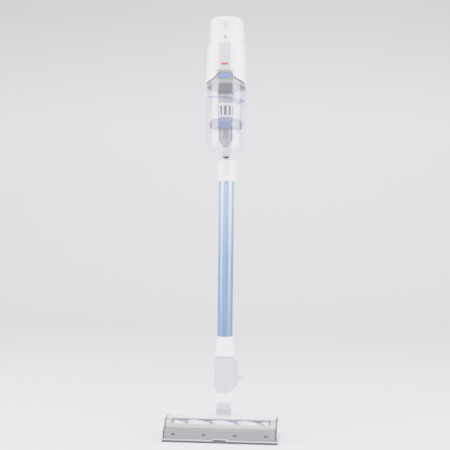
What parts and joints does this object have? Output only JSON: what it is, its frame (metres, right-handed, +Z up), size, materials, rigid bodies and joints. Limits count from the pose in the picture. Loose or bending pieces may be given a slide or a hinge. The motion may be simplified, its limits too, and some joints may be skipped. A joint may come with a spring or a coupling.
{
  "type": "cordless stick vacuum",
  "caption": "Upright cordless stick vacuum: powered brush head with a window, swivel neck, metal wand, clear cyclone dust bin, motor unit, looped handle and slide-off battery.",
  "frame": {"origin": "on the floor, at the middle of the footprint, under the wand axis", "axes": "+Z up along the wand, -Y towards the front of the floor head, +X to the right of someone facing the front"},
  "size_m": [0.274, 0.248, 1.003],
  "materials": {
    "pale_grey_plastic": "satin",
    "white_shell": "smooth white moulding",
    "silver_plastic": "silver grey",
    "clear_plastic": "clear",
    "grey_plastic": "fine grain",
    "lamp_lens": "frosted lens",
    "black_felt": "felt",
    "dark_grey_plastic": "fine grain",
    "bare_steel": "bare",
    "black_rubber": "matte",
    "white_nap": "short dense pile",
    "blue_bristle": "dense bristle",
    "grey_bristle": "dense bristle",
    "wheel_rubber": "matte",
    "wand_blue_metal": "anodised, satin",
    "cream_plastic": "satin",
    "blue_plastic": "gloss",
    "filter_foam": "open foam",
    "circuit_green": "board",
    "cell_blue": "wrapped cells"
  },
  "bodies": {
    "floor_head": {"sole_plate": "pale_grey_plastic", "head_cover": "white_shell", "window_frame": "silver_plastic", "brush_window": "clear_plastic", "front_bumper": "grey_plastic", "head_lamps": "lamp_lens", "front_felt_strip": "black_felt", "side_plate_left": "dark_grey_plastic", "side_plate_right": "dark_grey_plastic", "brush_motor": "bare_steel", "drive_belt": "black_rubber", "pivot_pin_left": "dark_grey_plastic", "pivot_pin_right": "dark_grey_plastic"},
    "brush_cap": {"brush_end_cap": "white_shell"},
    "brush": {"brush_core": "white_nap", "bristle_strip_blue": "blue_bristle", "bristle_strip_grey": "grey_bristle"},
    "brush_drive": {"brush_pulley": "dark_grey_plastic"},
    "motor_drive": {"motor_pulley": "dark_grey_plastic"},
    "wheel_left": {"rear_wheel_left": "wheel_rubber"},
    "wheel_right": {"rear_wheel_right": "wheel_rubber"},
    "yoke": {"pivot_yoke": "white_shell"},
    "neck": {"neck_socket": "white_shell", "neck_front_cover": "pale_grey_plastic", "tool_holder": "pale_grey_plastic"},
    "head_release": {"head_release_button": "grey_plastic"},
    "wand": {"wand_tube": "wand_blue_metal", "wand_lower_collar": "white_shell", "collar_gasket": "black_rubber"},
    "handheld": {"inlet_duct": "white_shell", "battery_dock": "white_shell", "hook_seat": "black_rubber", "motor_housing": "white_shell", "front_cowl": "white_shell", "display_strip": "cream_plastic", "charge_lamp": "grey_plastic", "intake_panel": "pale_grey_plastic", "filter_carrier": "silver_plastic", "premotor_filter": "filter_foam", "suction_motor": "bare_steel", "circuit_board": "circuit_green", "handle_loop": "white_shell"},
    "wand_release": {"wand_release_button": "cream_plastic"},
    "bin": {"dust_cup": "clear_plastic", "bin_latch_frame": "grey_plastic", "cyclone_lid": "silver_plastic", "spiral_ramp": "blue_plastic", "mesh_cage": "white_shell", "mesh_screen": "dark_grey_plastic", "cyclone_skirt": "blue_plastic", "fine_dust_cone": "clear_plastic", "dust_cone_cap": "black_rubber"},
    "bin_release": {"bin_release_button": "blue_plastic"},
    "power": {"power_button": "cream_plastic"},
    "mode": {"mode_button": "cream_plastic"},
    "impeller": {"fan": "dark_grey_plastic"},
    "trigger_lever": {"trigger": "blue_plastic"},
    "battery": {"battery_case": "pale_grey_plastic", "battery_cells": "cell_blue"},
    "battery_release": {"battery_latch": "grey_plastic"}
  },
  "joints": [
    {"name": "brush_pull_out", "type": "slide", "parent": "floor_head", "child": "brush_cap", "axis": [1, 0, 0], "range_m": [0, 0.03]},
    {"name": "brush_spin", "type": "hinge", "parent": "brush_cap", "child": "brush", "pos_m": [0, -0.076, 0.024], "axis": [1, 0, 0], "continuous": true},
    {"name": "brush_pulley_spin", "type": "hinge", "parent": "floor_head", "child": "brush_drive", "pos_m": [0, -0.076, 0.024], "axis": [1, 0, 0], "continuous": true},
    {"name": "motor_pulley_spin", "type": "hinge", "parent": "floor_head", "child": "motor_drive", "pos_m": [-0.11, -0.0375, 0.027], "axis": [1, 0, 0], "continuous": true},
    {"name": "wheel_left_spin", "type": "hinge", "parent": "floor_head", "child": "wheel_left", "pos_m": [-0.0435, 0.026, 0.016], "axis": [1, 0, 0], "continuous": true},
    {"name": "wheel_right_spin", "type": "hinge", "parent": "floor_head", "child": "wheel_right", "pos_m": [0.0435, 0.026, 0.016], "axis": [1, 0, 0], "continuous": true},
    {"name": "recline", "type": "hinge", "parent": "floor_head", "child": "yoke", "pos_m": [0, 0.006, 0.03], "axis": [-1, 0, 0], "range_deg": [0, 80]},
    {"name": "swivel", "type": "hinge", "parent": "yoke", "child": "neck", "pos_m": [0, 0, 0.09], "axis": [0, 0, 1], "range_deg": [-80, 80]},
    {"name": "head_release_press", "type": "slide", "parent": "neck", "child": "head_release", "axis": [0, -1, 0], "range_m": [0, 0.0012], "stiffness_N_per_m": 300},
    {"name": "wand_lift_off", "type": "slide", "parent": "neck", "child": "wand", "axis": [0, 0, 1], "range_m": [0, 0.06]},
    {"name": "handheld_lift_off", "type": "slide", "parent": "wand", "child": "handheld", "axis": [0, 0, 1], "range_m": [0, 0.06]},
    {"name": "wand_release_press", "type": "slide", "parent": "handheld", "child": "wand_release", "axis": [0, 1, 0], "range_m": [0, 0.0025], "stiffness_N_per_m": 300},
    {"name": "bin_tilt", "type": "hinge", "parent": "handheld", "child": "bin", "pos_m": [0, -0.017, 0.678], "axis": [1, 0, 0], "range_deg": [0, 25]},
    {"name": "bin_release_press", "type": "slide", "parent": "bin", "child": "bin_release", "axis": [0, 1, 0], "range_m": [0, 0.0025], "stiffness_N_per_m": 300},
    {"name": "power_press", "type": "slide", "parent": "handheld", "child": "power", "axis": [0, 1, 0], "range_m": [0, 0.0008], "stiffness_N_per_m": 300},
    {"name": "mode_press", "type": "slide", "parent": "handheld", "child": "mode", "axis": [0, 1, 0], "range_m": [0, 0.0008], "stiffness_N_per_m": 300},
    {"name": "fan_spin", "type": "hinge", "parent": "handheld", "child": "impeller", "pos_m": [0, -0.03, 0.892], "axis": [0, 0, 1], "continuous": true},
    {"name": "trigger_pull", "type": "hinge", "parent": "handheld", "child": "trigger_lever", "pos_m": [0, 0.1025, 0.959], "axis": [1, 0, 0], "range_deg": [0, 7], "stiffness_Nm_per_rad": 0.3},
    {"name": "battery_slide_off", "type": "slide", "parent": "handheld", "child": "battery", "axis": [0, 0, -1], "range_m": [0, 0.04]},
    {"name": "battery_latch_press", "type": "slide", "parent": "battery", "child": "battery_release", "axis": [0, -1, 0], "range_m": [0, 0.0012], "stiffness_N_per_m": 300}
  ],
  "couplings": [
    {"joint": "brush_pulley_spin", "follows": "brush_spin", "ratio": 1},
    {"joint": "motor_pulley_spin", "follows": "brush_spin", "ratio": 1.8}
  ]
}
